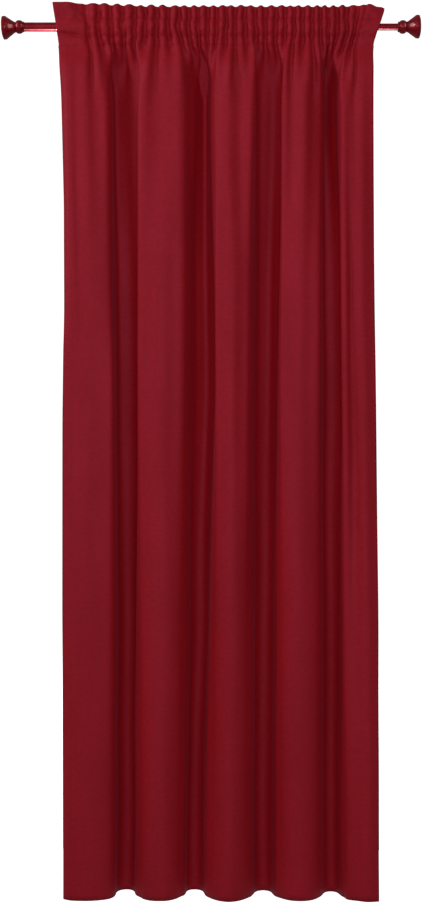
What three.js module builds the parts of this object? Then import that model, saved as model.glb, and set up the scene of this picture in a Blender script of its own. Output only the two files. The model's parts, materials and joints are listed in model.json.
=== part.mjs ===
// A gathered velvet curtain panel, hung on a telescopic rod with trumpet finials.
// Millimetres, +X along the rod, -Y towards the room, +Z up.
// The origin is on the rod's axis, at the seat of the left-hand bracket.

import * as THREE from 'three';

// ---- Driving dimensions: rod -------------------------------------------------------

const outerTubeRadius = 12.5;
const innerTubeRadius = 9.5;
const tubeWall = 0.8;
const outerTubeLength = 690;
const innerTubeLength = 690;
const leftStub = 44; // from the bracket seat to the left end of the rod
const leftBare = 80; // bare rod between the left finial and the heading
const rightBare = 36; // bare rod between the heading and the right finial
const glideSleeveLength = 30;
const mouthBushLength = 20;
const mouthBushLip = 1.5;
const fitGap = 0.3; // kept between any two pieces that touch

// ---- Driving dimensions: finials ---------------------------------------------------

const ringRadius = 14.5;
const ringWidth = 3.4;
const beadRadius = 18.7;
const beadNeckRadius = 12.5;
const beadWidth = 19.6;
const trumpetNeckRadius = 14.3;
const trumpetMouthRadius = 32;
const trumpetLength = 36;
const trumpetRim = 10;
const trumpetWall = 2.4;
const trumpetFloor = 12; // solid foot that the screw bites into
const capThickness = 2;
const capDome = 4;
const spigotLength = 20;
const spigotRibs = 3;
const spigotRibHeight = 0.9;
const screwRecess = 3; // from the spigot's inner end to the screw's head
const screwRadius = 2;
const screwHeadRadius = 4;
const screwHeadHeight = 2.6;
const screwBite = 9; // how far the screw enters the trumpet's foot

// ---- Driving dimensions: panel -----------------------------------------------------

const panelWidth = 862; // as gathered on the rod, below the heading
const panelFlare = 14; // extra width of the panel at its foot
const frillHeight = 57; // rod axis to the top edge
const dropBelowAxis = 2443; // rod axis to the foot
const clothThickness = 1.6;
const tapeThickness = 1.2;
const layerGap = 0.5; // between two layers, along Y

const pleatCount = 28;
const pleatDepth = 16;
const foldDepth = 100;
const foldPitch = 0.2237; // one broad fold, as a share of the gathered width
const firstFold = 0.059; // middle of the first forward fold, as a share
const foldsFormedAt = -900; // height where the pleats have merged into folds

const easeAboveRod = 8.5; // from the top of the rod up to the pocket's upper seam
const easeBelowRod = 18.5; // from the underside of the rod down to the lower seam
const tapeMargin = 5; // tape above its upper seam
const tapeTail = 25; // tape below the pocket
const edgeGap = 0.6; // between the edges of two layers, along Z
const sideHemColumns = 1; // each column of cloth is one hem wide when flat
const bottomHemHeight = 100;
const leftFlap = 32; // how far the heading leans out past the cloth below it
const rightFlap = 36;
const cordRadius = 1;
const knotRadius = 3.4;

// ---- Materials ---------------------------------------------------------------------

const velvet = { color: 0x77151f, roughness: 0.85, metalness: 0 };
const tapeWeave = { color: 0x8c5a58, roughness: 0.9, metalness: 0 };
const cordYarn = { color: 0xe6ddd2, roughness: 0.9, metalness: 0 };
const lacquer = { color: 0x8f1016, roughness: 0.22, metalness: 0.3 };
const nylon = { color: 0x26262a, roughness: 0.55, metalness: 0 };
const steel = { color: 0xb9bcc0, roughness: 0.35, metalness: 1 };

const curtain = new THREE.Group();

function addPiece(name, geometry, look, parent = curtain) {
  const piece = new THREE.Mesh(geometry, new THREE.MeshStandardMaterial(look));
  piece.name = name;
  parent.add(piece);
  return piece;
}

// ---- Turned pieces -----------------------------------------------------------------

const tubeSides = 32;
const finialSides = 24;
const screwSides = 12;
const cordSides = 8;

// Turns a closed profile of [radius, distance] pairs about the X axis.
function turned(profile, sides = finialSides) {
  const points = profile.map(([radius, distance]) => new THREE.Vector2(radius, distance));
  const geometry = new THREE.LatheGeometry(points, sides);
  geometry.rotateZ(-Math.PI / 2);
  return geometry;
}

// A straight tube with flat ends, from start to start + length.
function tube(outerRadius, innerRadius, start, length, sides = tubeSides) {
  return turned([
    [innerRadius, start],
    [outerRadius, start],
    [outerRadius, start + length],
    [innerRadius, start + length],
    [innerRadius, start],
  ], sides);
}

// ---- Telescopic rod ----------------------------------------------------------------

const outerBore = outerTubeRadius - tubeWall;
const innerBore = innerTubeRadius - tubeWall;
const rodLeftEnd = -leftStub;
const panelLeft = rodLeftEnd + leftBare + leftFlap;
const panelRight = panelLeft + panelWidth;
const rodRightEnd = panelRight + rightFlap + rightBare;
const outerMouth = rodLeftEnd + outerTubeLength;
const innerHiddenEnd = rodRightEnd - innerTubeLength;

function addRod() {
  addPiece('outer_tube', tube(outerTubeRadius, outerBore, rodLeftEnd, outerTubeLength), lacquer);
  addPiece('inner_tube', tube(innerTubeRadius, innerBore, innerHiddenEnd, innerTubeLength), lacquer);
  const sleeveOuter = outerBore - fitGap;
  const sleeveInner = innerTubeRadius + fitGap;
  addPiece('glide_sleeve', tube(sleeveOuter, sleeveInner, innerHiddenEnd, glideSleeveLength), nylon);
  addPiece('mouth_bush', turned([
    [sleeveInner, outerMouth - mouthBushLength],
    [sleeveOuter, outerMouth - mouthBushLength],
    [sleeveOuter, outerMouth + fitGap],
    [outerTubeRadius, outerMouth + fitGap],
    [outerTubeRadius, outerMouth + fitGap + mouthBushLip],
    [sleeveInner, outerMouth + fitGap + mouthBushLip],
    [sleeveInner, outerMouth - mouthBushLength],
  ], tubeSides), nylon);
}

// ---- Finials -----------------------------------------------------------------------
// Each finial is described along its own axis, outwards from the end of its tube.

const ringStart = fitGap;
const beadStart = ringStart + ringWidth + fitGap;
const trumpetStart = beadStart + beadWidth + fitGap;
const trumpetMouth = trumpetStart + trumpetLength;
const screwHole = screwRadius + fitGap;
const screwSeat = screwHeadHeight + screwRecess - spigotLength;

function beadProfile() {
  const outline = new THREE.Path();
  const middle = beadStart + beadWidth / 2;
  const bulge = beadRadius - beadNeckRadius;
  outline.absellipse(beadNeckRadius, middle, bulge, beadWidth / 2, -Math.PI / 2, Math.PI / 2);
  const skin = outline.getPoints(4).map((point) => [point.x, point.y]);
  return [[screwHole, beadStart], ...skin, [screwHole, beadStart + beadWidth], [screwHole, beadStart]];
}

function trumpetProfile() {
  const rimStart = trumpetMouth - trumpetRim;
  const flare = new THREE.QuadraticBezierCurve(
    new THREE.Vector2(trumpetNeckRadius, trumpetStart),
    new THREE.Vector2(trumpetNeckRadius + 6, trumpetStart + 14),
    new THREE.Vector2(trumpetMouthRadius - 0.8, rimStart),
  );
  const outside = flare.getPoints(5).map((point) => [point.x, point.y]);
  const hollowFloor = trumpetStart + trumpetFloor;
  const hollowFloorRadius = trumpetNeckRadius + trumpetFloor / 2 - trumpetWall;
  const holeEnd = trumpetStart + screwBite + fitGap;
  return [
    [screwHole, trumpetStart],
    ...outside,
    [trumpetMouthRadius, rimStart + 1.5],
    [trumpetMouthRadius, trumpetMouth - 1.5],
    [trumpetMouthRadius - 1.2, trumpetMouth],
    [trumpetMouthRadius - trumpetWall, trumpetMouth],
    [trumpetMouthRadius - trumpetWall, rimStart],
    [hollowFloorRadius, hollowFloor],
    [0, hollowFloor],
    [0, holeEnd],
    [screwHole, holeEnd],
    [screwHole, trumpetStart],
  ];
}

function capProfile() {
  const edge = trumpetMouthRadius - trumpetWall - fitGap;
  const foot = trumpetMouth - capThickness;
  const dome = new THREE.QuadraticBezierCurve(
    new THREE.Vector2(edge, trumpetMouth - 0.4),
    new THREE.Vector2(edge * 0.6, trumpetMouth + capDome),
    new THREE.Vector2(0, trumpetMouth + capDome),
  );
  return [[0, foot], [edge, foot], ...dome.getPoints(5).map((point) => [point.x, point.y])];
}

// The spigot is pushed into the tube, and its ribs grip the bore.
function spigotProfile(bore) {
  const ribRadius = bore - fitGap;
  const coreRadius = ribRadius - spigotRibHeight;
  const ribPitch = spigotLength / (spigotRibs + 1);
  const headBore = screwHeadRadius + fitGap;
  const ribs = [];
  for (let rib = 1; rib <= spigotRibs; rib += 1) {
    const foot = rib * ribPitch - spigotLength;
    ribs.push([coreRadius, foot - 1], [ribRadius, foot], [coreRadius, foot + 1]);
  }
  return [
    [screwHole, 0],
    [screwHole, screwSeat + fitGap],
    [headBore, screwSeat + fitGap],
    [headBore, -spigotLength],
    [coreRadius, -spigotLength],
    ...ribs,
    [coreRadius, 0],
    [screwHole, 0],
  ];
}

function screwProfile() {
  return [
    [0, screwSeat - screwHeadHeight],
    [screwHeadRadius, screwSeat - screwHeadHeight],
    [screwHeadRadius, screwSeat],
    [screwRadius, screwSeat],
    [screwRadius, trumpetStart + screwBite - 2],
    [0, trumpetStart + screwBite],
  ];
}

// side is -1 for the left-hand finial and 1 for the right-hand one.
function addFinial(label, tubeEnd, bore, side) {
  const finial = new THREE.Group();
  finial.position.x = tubeEnd;
  finial.rotation.z = side < 0 ? Math.PI : 0;
  curtain.add(finial);
  const ring = tube(ringRadius, screwHole, ringStart, ringWidth, finialSides);
  addPiece(`${label}_ring`, ring, lacquer, finial);
  addPiece(`${label}_bead`, turned(beadProfile()), lacquer, finial);
  addPiece(`${label}_trumpet`, turned(trumpetProfile()), lacquer, finial);
  addPiece(`${label}_cap`, turned(capProfile()), lacquer, finial);
  addPiece(`${label}_spigot`, turned(spigotProfile(bore)), nylon, finial);
  addPiece(`${label}_screw`, turned(screwProfile(), screwSides), steel, finial);
}

// ---- Panel surface -----------------------------------------------------------------

const hemThickness = clothThickness;
const hemBehind = (clothThickness + hemThickness) / 2 + layerGap;
const tapeBehind = (clothThickness + tapeThickness) / 2 + layerGap;

// The cloth is a grid. A column is half a pleat wide. Rows are heights, top to bottom.

const columns = pleatCount * 2;
const pocketTop = outerTubeRadius + easeAboveRod;
const pocketBottom = -outerTubeRadius - easeBelowRod;
const rodFaceTop = outerTubeRadius * 0.64;
const rodFaceFoot = -outerTubeRadius * 1.12;
const tapeTop = pocketTop + tapeMargin;
const tapeFoot = pocketBottom - tapeTail;
const hemTop = bottomHemHeight - dropBelowAxis;

const rowHeights = [
  frillHeight, (frillHeight + tapeTop) / 2, tapeTop + edgeGap, tapeTop, pocketTop, rodFaceTop,
  rodFaceFoot, pocketBottom, tapeFoot, tapeFoot - edgeGap, -90, -130, -190, -270, -370, -500, -680,
  foldsFormedAt, hemTop + edgeGap, hemTop, -dropBelowAxis,
];
const row = {
  turningFoot: 2,
  tapeTop: 3,
  pocketTop: 4,
  pocketBottom: 7,
  tapeFoot: 8,
  sideHemTop: 9,
  sideHemFoot: rowHeights.length - 3,
  bottomHemTop: rowHeights.length - 2,
  foot: rowHeights.length - 1,
};

const smoothStep = (from, to, value) => THREE.MathUtils.smoothstep(value, from, to);

// 0 at the heading, 1 where the pleats have merged into broad folds.
function foldShare(height) {
  return 1 - smoothStep(foldsFormedAt, tapeFoot, height);
}

// How far a layer stands off the seams' plane: in front of the rod, or behind it.
function pocketBulge(rowIndex, layer) {
  const overRod = rowIndex > row.pocketTop && rowIndex < row.pocketBottom;
  const clearOfRod = outerTubeRadius + fitGap + pleatDepth / 2;
  const inFront = -clearOfRod - clothThickness / 2;
  const atBack = clearOfRod + tapeThickness / 2 - tapeBehind;
  return overRod ? { front: inFront, back: atBack }[layer] : 0;
}

function edgeLean(height) {
  return smoothStep(tapeFoot - 60, frillHeight, height);
}

function clothX(column, height) {
  const lean = edgeLean(height);
  const flare = panelFlare * (-height / dropBelowAxis) * (height < 0 ? 1 : 0);
  const left = panelLeft - leftFlap * lean;
  const right = panelRight + rightFlap * lean + flare;
  return THREE.MathUtils.lerp(left, right, column / columns);
}

// The middle of the face cloth, or of a layer that passes behind the rod.
function clothY(column, rowIndex, layer) {
  const height = rowHeights[rowIndex];
  const share = foldShare(height);
  const pleat = (column % 2 === 0 ? 1 : -1) * (pleatDepth / 2) * (1 - share);
  const turn = (column / columns - firstFold) / foldPitch;
  const fold = -Math.cos(turn * Math.PI * 2) * (foldDepth / 2) * share;
  return pocketBulge(rowIndex, layer) + pleat + fold;
}

// A closed layer of cloth over some columns and rows of the grid.
function clothLayer({ fromColumn, toColumn, fromRow, toRow, thickness, behind, layer = 'front' }) {
  const across = toColumn - fromColumn;
  const down = toRow - fromRow;
  const geometry = new THREE.BoxGeometry(across, 1, down, across, 1, down);
  alignDiagonals(geometry);
  const position = geometry.attributes.position;
  for (let index = 0; index < position.count; index += 1) {
    const column = fromColumn + Math.round(position.getX(index) + across / 2);
    const rowIndex = fromRow + Math.round(down / 2 - position.getZ(index));
    const depth = behind + position.getY(index) * thickness;
    const height = rowHeights[rowIndex];
    position.setXYZ(index, clothX(column, height), clothY(column, rowIndex, layer) + depth, height);
  }
  return geometry;
}

// Splits the back face's squares the same way as the front's, so a layer keeps its thickness.
function alignDiagonals(geometry) {
  const frontFace = geometry.groups[3];
  const index = geometry.index;
  for (let at = frontFace.start; at < frontFace.start + frontFace.count; at += 6) {
    const [a, b, d, , c] = Array.from(index.array.slice(at, at + 6));
    [a, b, c, a, c, d].forEach((corner, offset) => index.setX(at + offset, corner));
  }
}

// ---- Panel pieces ------------------------------------------------------------------

function addPanel() {
  const whole = { fromColumn: 0, toColumn: columns };
  addPiece('panel_cloth', clothLayer({
    ...whole, fromRow: 0, toRow: row.foot, thickness: clothThickness, behind: 0,
  }), velvet);
  addPiece('heading_turning', clothLayer({
    ...whole, fromRow: 0, toRow: row.turningFoot, thickness: hemThickness, behind: hemBehind,
  }), velvet);
  addPiece('heading_tape', clothLayer({
    ...whole, fromRow: row.tapeTop, toRow: row.tapeFoot, thickness: tapeThickness, behind: tapeBehind, layer: 'back',
  }), tapeWeave);
  addPiece('bottom_hem', clothLayer({
    ...whole, fromRow: row.bottomHemTop, toRow: row.foot, thickness: hemThickness, behind: hemBehind,
  }), velvet);
  const hemRows = { fromRow: row.sideHemTop, toRow: row.sideHemFoot };
  addPiece('side_hem_left', clothLayer({
    fromColumn: 0, toColumn: sideHemColumns, ...hemRows, thickness: hemThickness, behind: hemBehind,
  }), velvet);
  addPiece('side_hem_right', clothLayer({
    fromColumn: columns - sideHemColumns,
    toColumn: columns,
    ...hemRows,
    thickness: hemThickness,
    behind: hemBehind,
  }), velvet);
}

// Each cord lies straight along the back of the gathered tape, knotted at both ends.
function addDrawCords() {
  const tapeBack = pleatDepth / 2 + tapeBehind + tapeThickness / 2;
  const cordY = tapeBack + fitGap + cordRadius;
  const cordRows = [
    { label: 'upper', height: pocketTop + tapeMargin / 2 },
    { label: 'middle', height: pocketBottom - tapeMargin / 2 },
    { label: 'lower', height: tapeFoot + tapeMargin / 2 },
  ];
  for (const { label, height } of cordRows) {
    const start = clothX(0, height) + knotRadius * 2 + fitGap;
    const end = clothX(columns, height) - knotRadius * 2 - fitGap;
    const cord = addPiece(
      `draw_cord_${label}`,
      turned([[0, start], [cordRadius, start], [cordRadius, end], [0, end]], cordSides),
      cordYarn,
    );
    cord.position.set(0, cordY, height);
    const knotX = { left: start - knotRadius - fitGap, right: end + knotRadius + fitGap };
    for (const side of ['left', 'right']) {
      const ball = new THREE.SphereGeometry(knotRadius, cordSides, cordSides - 2);
      const knot = addPiece(`cord_knot_${label}_${side}`, ball, cordYarn);
      knot.position.set(knotX[side], cordY + knotRadius - cordRadius, height);
    }
  }
}

addRod();
addFinial('finial_left', rodLeftEnd, outerBore, -1);
addFinial('finial_right', rodRightEnd, innerBore, 1);
addPanel();
addDrawCords();

export default curtain;
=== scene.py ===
# %% [markdown]
# A gathered velvet curtain panel on a telescopic rod.
# The rod, its finials and everything that slides come from the CAD frame, which is loaded first
# and never moved. This lesson dresses that frame: turned metalwork made by spinning an outline,
# a panel of cloth made as one folded sheet with its hems, tape, cords and stitches, and the
# materials, light and camera. Every size is in metres.

# %% Load the CAD frame
import json
import math
import bmesh
import bpy
import numpy as np
from mathutils import Matrix, Vector, noise

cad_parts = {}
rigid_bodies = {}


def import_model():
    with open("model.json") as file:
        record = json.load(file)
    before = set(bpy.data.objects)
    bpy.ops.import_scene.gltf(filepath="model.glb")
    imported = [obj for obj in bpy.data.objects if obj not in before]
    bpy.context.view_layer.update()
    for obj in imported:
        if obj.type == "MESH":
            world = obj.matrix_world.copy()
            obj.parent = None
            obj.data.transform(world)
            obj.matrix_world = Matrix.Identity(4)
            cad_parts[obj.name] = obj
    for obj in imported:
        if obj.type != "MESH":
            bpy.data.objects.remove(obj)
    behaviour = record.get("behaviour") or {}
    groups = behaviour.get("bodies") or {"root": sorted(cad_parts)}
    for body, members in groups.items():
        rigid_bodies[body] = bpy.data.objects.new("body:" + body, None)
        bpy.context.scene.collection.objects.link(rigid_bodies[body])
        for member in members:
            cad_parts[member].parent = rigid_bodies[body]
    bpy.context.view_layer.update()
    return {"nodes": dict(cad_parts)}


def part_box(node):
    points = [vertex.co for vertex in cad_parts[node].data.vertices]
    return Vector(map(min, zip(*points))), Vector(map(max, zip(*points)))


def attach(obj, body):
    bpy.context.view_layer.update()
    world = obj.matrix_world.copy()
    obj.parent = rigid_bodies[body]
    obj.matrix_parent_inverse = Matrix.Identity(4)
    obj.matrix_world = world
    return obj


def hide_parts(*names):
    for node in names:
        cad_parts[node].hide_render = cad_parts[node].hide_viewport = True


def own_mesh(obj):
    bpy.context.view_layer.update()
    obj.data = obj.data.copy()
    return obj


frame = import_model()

MM = 0.001

# %% [markdown]
# The camera stands square in front of the panel at half its height, about as far away as a
# person stands to see a whole curtain. A long frame needs the sensor fitted to its height,
# so that the picture's height sets the scale.

# %% Camera
camera_distance = 3.9
picture_height = 2.531
aim = Vector((0.4816, 0.0, -1.190))

camera_data = bpy.data.cameras.new("camera")
camera_data.sensor_fit = "VERTICAL"
camera_data.sensor_height = 24.0
camera_data.lens = camera_data.sensor_height * camera_distance / picture_height
camera = bpy.data.objects.new("camera", camera_data)
camera.location = aim + Vector((0, -camera_distance, 0))
camera.rotation_euler = (math.radians(90), 0, 0)
bpy.context.collection.objects.link(camera)
bpy.context.scene.camera = camera
print("lens", round(camera_data.lens, 1), "mm")

# %% [markdown]
# Every finished piece goes through one function: it becomes an object, takes its material, rides
# on its CAD body, and hides the CAD nodes that it stands for. Doing this in one place keeps any
# piece from being left behind when a joint moves.

# %% Turn a bmesh into a piece
def finish_piece(name, mesh, material, body, replaces=()):
    """Makes a piece of a bmesh and ties it to the frame."""
    data = bpy.data.meshes.new(name)
    mesh.to_mesh(data)
    mesh.free()
    data.materials.append(material)
    for polygon in data.polygons:
        polygon.use_smooth = True
    piece = bpy.data.objects.new(name, data)
    bpy.context.collection.objects.link(piece)
    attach(piece, body)
    if replaces:
        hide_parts(*replaces)
    return piece


# %% [markdown]
# Materials are small node trees. A helper opens a new material and hands back its tree with a
# few short ways to add a node, so that each finish below reads as a recipe.

# %% A helper for node materials
class Recipe:
    """A material being put together: its nodes, its links and its main shader."""

    def __init__(self, name):
        self.material = bpy.data.materials.new(name)
        self.material.use_nodes = True
        self.nodes = self.material.node_tree.nodes
        self.links = self.material.node_tree.links
        self.shader = self.nodes["Principled BSDF"]

    def add(self, kind, values=None, **settings):
        node = self.nodes.new("ShaderNode" + kind)
        for key, value in settings.items():
            setattr(node, key, value)
        for key, value in (values or {}).items():
            node.inputs[key].default_value = value
        return node

    def link(self, source, target):
        self.links.new(source, target)

    def feed(self, socket, source):
        self.link(source, self.shader.inputs[socket])

    def set(self, **values):
        for key, value in values.items():
            self.shader.inputs[key.replace("_", " ")].default_value = value

    def ramp(self, source, *stops):
        ramp = self.add("ValToRGB")
        elements = ramp.color_ramp.elements
        while len(elements) < len(stops):
            elements.new(0.5)
        for element, (place, colour) in zip(elements, stops):
            element.position = place
            element.color = colour
        self.link(source, ramp.inputs["Fac"])
        return ramp.outputs["Color"]

    def math(self, operation, a, b=None, c=None):
        node = self.add("Math", operation=operation)
        for socket, value in zip(node.inputs, (a, b, c)):
            if value is None:
                continue
            if isinstance(value, (int, float)):
                socket.default_value = value
            else:
                self.link(value, socket)
        return node.outputs[0]

    def mix(self, share, first, second, blend="MIX"):
        node = self.add("Mix", data_type="RGBA", blend_type=blend)
        factor_and_colours = (node.inputs[0], node.inputs[6], node.inputs[7])
        for socket, value in zip(factor_and_colours, (share, first, second)):
            if isinstance(value, (int, float, tuple)):
                socket.default_value = value
            else:
                self.link(value, socket)
        return node.outputs[2]

    def noise(self, vector, scale, detail=4.0, roughness=0.55):
        node = self.add("TexNoise", {"Scale": scale, "Detail": detail, "Roughness": roughness})
        self.link(vector, node.inputs["Vector"])
        return node.outputs["Fac"]

    def stretch(self, vector, scale):
        node = self.add("Mapping")
        node.inputs["Scale"].default_value = scale
        self.link(vector, node.inputs["Vector"])
        return node.outputs["Vector"]

    def cloth_noise(self, flat, across, down, detail, roughness=0.55):
        """Noise with this many features a metre across and down the flat cloth."""
        return self.noise(self.stretch(flat, (across, down, 1.0)), 1.0, detail, roughness)

    def split(self, vector):
        parts = self.add("SeparateXYZ")
        self.link(vector, parts.inputs[0])
        return parts.outputs[0], parts.outputs[1]

    def bump(self, height, distance, strength=1.0, under=None):
        node = self.add("Bump", {"Distance": distance, "Strength": strength})
        self.link(height, node.inputs["Height"])
        if under is not None:
            self.link(under, node.inputs["Normal"])
        return node.outputs["Normal"]


print("ways to add a node:", [way for way in dir(Recipe) if not way.startswith("_")])

# %% [markdown]
# Colours are easiest to choose in sRGB, from 0 to 255, but a shader wants them linear. Greys serve
# for roughness, and as numbers to multiply a colour with.

# %% Colours
def colour(red, green, blue):
    """An sRGB colour from 0 to 255 as the linear values that a shader wants."""
    def linear(value):
        share = value / 255
        return share / 12.92 if share <= 0.04045 else ((share + 0.055) / 1.055) ** 2.4
    return (linear(red), linear(green), linear(blue), 1.0)


def grey(value):
    """A neutral grey, given as its linear strength."""
    return (value, value, value, 1)


print("curtain red in linear values", [round(value, 3) for value in colour(172, 13, 23)])

# %% [markdown]
# Velvet is a short dense pile standing on a woven ground. Light enters between the fibres, so a
# face looked at squarely is dark, and one seen edge-on is bright: that is the sheen, and dyed
# fibres tint it. The pile also leans this way and that where it has been handled, which shows as
# soft lighter and darker patches, and wear leaves a finer mottle. The pattern is laid on the
# cloth's own flat UV map, in metres, so it follows every fold and stays put when the panel gathers.

# %% Velvet
velvet_ridge = colour(172, 13, 23)
velvet_deep = colour(157, 9, 13)


def make_velvet(name, light, deep):
    recipe = Recipe(name)
    flat = recipe.add("UVMap").outputs["UV"]
    patches = recipe.cloth_noise(flat, 9.0, 2.2, 5.0, 0.6)
    bruises = recipe.cloth_noise(flat, 7.0, 30.0, 3.0, 0.5)
    nap = recipe.math("ADD", recipe.math("MULTIPLY", patches, 0.8), recipe.math("MULTIPLY", bruises, 0.2))
    fibres = recipe.cloth_noise(flat, 1400.0, 900.0, 2.0, 0.7)
    tone = recipe.ramp(nap, (0.30, deep), (0.70, light))
    speckle = recipe.ramp(fibres, (0.30, grey(0.80)), (0.72, grey(1.12)))
    mottle = recipe.cloth_noise(flat, 70.0, 130.0, 4.0, 0.65)
    worn = recipe.ramp(mottle, (0.36, (0.90, 0.88, 0.88, 1)), (0.64, (1.10, 1.12, 1.12, 1)))
    tone = recipe.mix(1.0, tone, worn, "MULTIPLY")
    recipe.feed("Base Color", recipe.mix(1.0, tone, speckle, "MULTIPLY"))
    recipe.feed("Roughness", recipe.ramp(nap, (0.3, grey(0.68)), (0.7, grey(0.58))))
    recipe.set(Sheen_Weight=0.17, Sheen_Roughness=0.4, Specular_IOR_Level=0.41,
               Specular_Tint=(1.0, 0.55, 0.95, 1), Sheen_Tint=(1.0, 0.14, 0.26, 1))
    lay = recipe.bump(mottle, 0.9 * MM, 0.35, recipe.bump(nap, 1.6 * MM, 0.35))
    recipe.feed("Normal", recipe.bump(fibres, 0.4 * MM, 0.5, lay))
    return recipe.material


velvet = make_velvet("velvet_pile", velvet_ridge, velvet_deep)
print("velvet is made of", len(velvet.node_tree.nodes), "nodes")

# %% [markdown]
# The back of velvet has no pile. It is the plain woven ground: a flatter, slightly paler red with
# a fine grid of warp and weft. The heading tape is woven too, coarser and paler.

# %% The woven back of the velvet, and the heading tape
def make_weave(name, base, dark, threads_per_metre, rib):
    """A plain weave on the flat UV map. rib is the height of a thread."""
    recipe = Recipe(name)
    flat = recipe.add("UVMap").outputs["UV"]
    turn = threads_per_metre * math.pi
    warp, weft = [recipe.math("ABSOLUTE", recipe.math("SINE", recipe.math("MULTIPLY", way, turn)))
                  for way in recipe.split(flat)]
    cross = recipe.math("MULTIPLY", warp, weft)
    slub = recipe.cloth_noise(flat, 60.0, 9.0, 4.0)
    shade = recipe.math("ADD", recipe.math("MULTIPLY", cross, 0.55), recipe.math("MULTIPLY", slub, 0.45))
    recipe.feed("Base Color", recipe.ramp(shade, (0.15, dark), (0.75, base)))
    recipe.set(Roughness=0.92, Specular_IOR_Level=0.2, Sheen_Weight=0.12, Sheen_Roughness=0.6)
    recipe.feed("Normal", recipe.bump(cross, rib, 0.8))
    return recipe.material


velvet_back = make_weave("velvet_ground", colour(138, 42, 54), colour(104, 22, 34), 900, 0.18 * MM)
tape_weave = make_weave("tape_weave", colour(158, 96, 94), colour(120, 62, 62), 700, 0.3 * MM)
print("woven", velvet_back.name, "and", tape_weave.name)

# %% [markdown]
# The heading cords and their knots are braided polyester: off-white, with strands that cross at
# a slant. Two waves that run against each other along and around the cord give the braid.

# %% Braided cord
def make_braid(name, light, dark):
    recipe = Recipe(name)
    length, girth = recipe.split(recipe.add("UVMap").outputs["UV"])
    along = recipe.math("MULTIPLY", length, 2600.0)
    around = recipe.math("MULTIPLY", girth, 8 * math.pi)
    right = recipe.math("SINE", recipe.math("ADD", along, around))
    left = recipe.math("SINE", recipe.math("SUBTRACT", along, around))
    strands = recipe.math("MAXIMUM", right, left)
    shade = recipe.math("MULTIPLY_ADD", strands, 0.5, 0.5)
    recipe.feed("Base Color", recipe.ramp(shade, (0.2, dark), (0.8, light)))
    recipe.set(Roughness=0.8, Specular_IOR_Level=0.3)
    recipe.feed("Normal", recipe.bump(shade, 0.3 * MM, 0.8))
    return recipe.material


cord_braid = make_braid("cord_braid", colour(226, 216, 204), colour(168, 152, 140))
thread = make_braid("sewing_thread", colour(122, 24, 36), colour(78, 12, 22))
print("braided", cord_braid.name, "and", thread.name)

# %% [markdown]
# The rod and finials are steel sprayed with red lacquer: a saturated red coat under a clear, hard
# gloss. The clear gloss is a coat on the shader, so that it mirrors lights sharply while the red
# below stays a little softer. Faint orange peel and a few rubbed, darker places keep it from
# looking like plastic. The hidden nylon and steel share a simpler recipe with one fine grain.

# %% Red lacquer, nylon and zinc-plated steel
def make_lacquer(name):
    recipe = Recipe(name)
    place = recipe.add("TexCoord").outputs["Object"]
    cloudy = recipe.noise(place, 26.0, 4.0)
    peel = recipe.noise(place, 520.0, 2.0)
    recipe.feed("Base Color", recipe.ramp(cloudy, (0.32, colour(120, 6, 16)), (0.68, colour(138, 11, 25))))
    recipe.feed("Roughness", recipe.ramp(cloudy, (0.3, grey(0.28)), (0.7, grey(0.36))))
    recipe.set(Metallic=0.08, Specular_IOR_Level=0.15, Coat_Weight=0.28, Coat_Roughness=0.08,
               Specular_Tint=(1.0, 0.25, 0.32, 1))
    recipe.feed("Normal", recipe.bump(peel, 0.06 * MM, 0.25))
    return recipe.material


def make_grained(name, scale, tones, roughness, height, metallic):
    """A hard finish with a fine grain. tones are (place on the ramp, colour); height is the grain's."""
    recipe = Recipe(name)
    grain = recipe.noise(recipe.add("TexCoord").outputs["Object"], scale, 3.0)
    recipe.feed("Base Color", recipe.ramp(grain, *tones))
    recipe.feed("Roughness", recipe.ramp(grain, (0.3, grey(roughness[0])), (0.7, grey(roughness[1]))))
    recipe.set(Metallic=metallic)
    recipe.feed("Normal", recipe.bump(grain, height, 0.4))
    return recipe.material


lacquer = make_lacquer("red_lacquer")
nylon = make_grained("black_nylon", 900.0, [(0.3, colour(34, 34, 38)), (0.7, colour(52, 52, 56))],
                     (0.5, 0.66), 0.04 * MM, 0.0)
zinc = make_grained("zinc_steel", 400.0, [(0.35, colour(168, 168, 160)), (0.65, colour(206, 204, 196))],
                    (0.28, 0.42), 0.03 * MM, 1.0)
print("hard finishes", lacquer.name, nylon.name, zinc.name)

# %% [markdown]
# Everything on the rod is round, so it is turned: an outline of a few points is spun about the
# rod's axis, as a lathe would cut it. A fine spin gives a smooth highlight that the coarse CAD
# cylinders can't, while the sizes are still read from the CAD boxes.

# %% Turning an outline about the rod
TURNS = 96


def arc(centre, radii, start, end, steps):
    """Points on an ellipse quarter or more: angles in degrees, 0 along the rod, 90 outwards."""
    angles = np.radians(np.linspace(start, end, steps + 1))
    return [(centre[0] + radii[0] * math.cos(a), centre[1] + radii[1] * math.sin(a)) for a in angles]


def turn_outline(outline, direction=1.0):
    """Spins a closed outline of (distance along direction, radius) points about the X axis."""
    work = bmesh.new()
    points = [work.verts.new((direction * far, 0.0, out)) for far, out in outline]
    for pair in zip(points, points[1:] + points[:1]):
        work.edges.new(pair)
    bmesh.ops.spin(work, geom=work.verts[:] + work.edges[:], cent=(0, 0, 0), axis=(1, 0, 0),
                   angle=math.tau, steps=TURNS, use_merge=True, use_duplicate=False)
    bmesh.ops.remove_doubles(work, verts=work.verts, dist=1e-7)
    bmesh.ops.recalc_face_normals(work, faces=work.faces)
    return work


print("a full turn takes", TURNS, "steps")

# %% [markdown]
# Each tube is a plain outline, but its ends matter: the cut edge is rolled over a little, which
# catches a thin line of light.

# %% The two tubes
tube_wall = 0.8 * MM
edge_round = 0.35 * MM


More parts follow.
